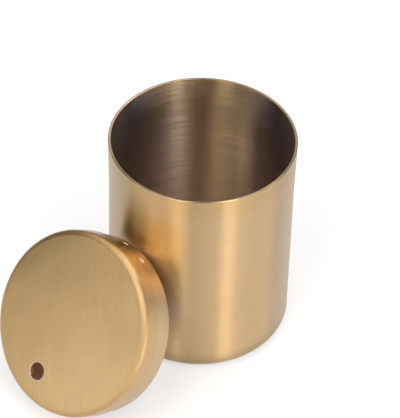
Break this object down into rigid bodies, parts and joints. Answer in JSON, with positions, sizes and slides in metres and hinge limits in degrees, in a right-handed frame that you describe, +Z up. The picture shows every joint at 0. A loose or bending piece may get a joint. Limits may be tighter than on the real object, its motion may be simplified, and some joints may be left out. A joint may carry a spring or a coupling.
{
  "type": "toothpick dispenser",
  "caption": "Round metal toothpick dispenser: a straight cup with a rounded bottom edge and a plug lid with a dispensing hole near its edge, the lid taken off and leaning on the cup.",
  "frame": {"origin": "centre of the cup's underside, on the surface that the cup and the lid stand on", "axes": "+Z up along the cup's axis and out of its mouth; -Y from the cup towards the lid that leans on it"},
  "size_m": [0.0546, 0.0938, 0.068],
  "materials": {
    "cup_metal": "brushed around the cup, with a browner turned bore",
    "cap_metal": "brushed in straight lines on the face and around the skirt",
    "ring_metal": "plain satin"
  },
  "bodies": {
    "cup": {"cup_body": "cup_metal"},
    "lid": {"lid_cap": "cap_metal", "plug_ring": "ring_metal"}
  },
  "joints": [
    {"name": "lid_lift", "type": "slide", "parent": "cup", "child": "lid", "axis": [0, 0, 1], "range_m": [0, 0.075]}
  ]
}
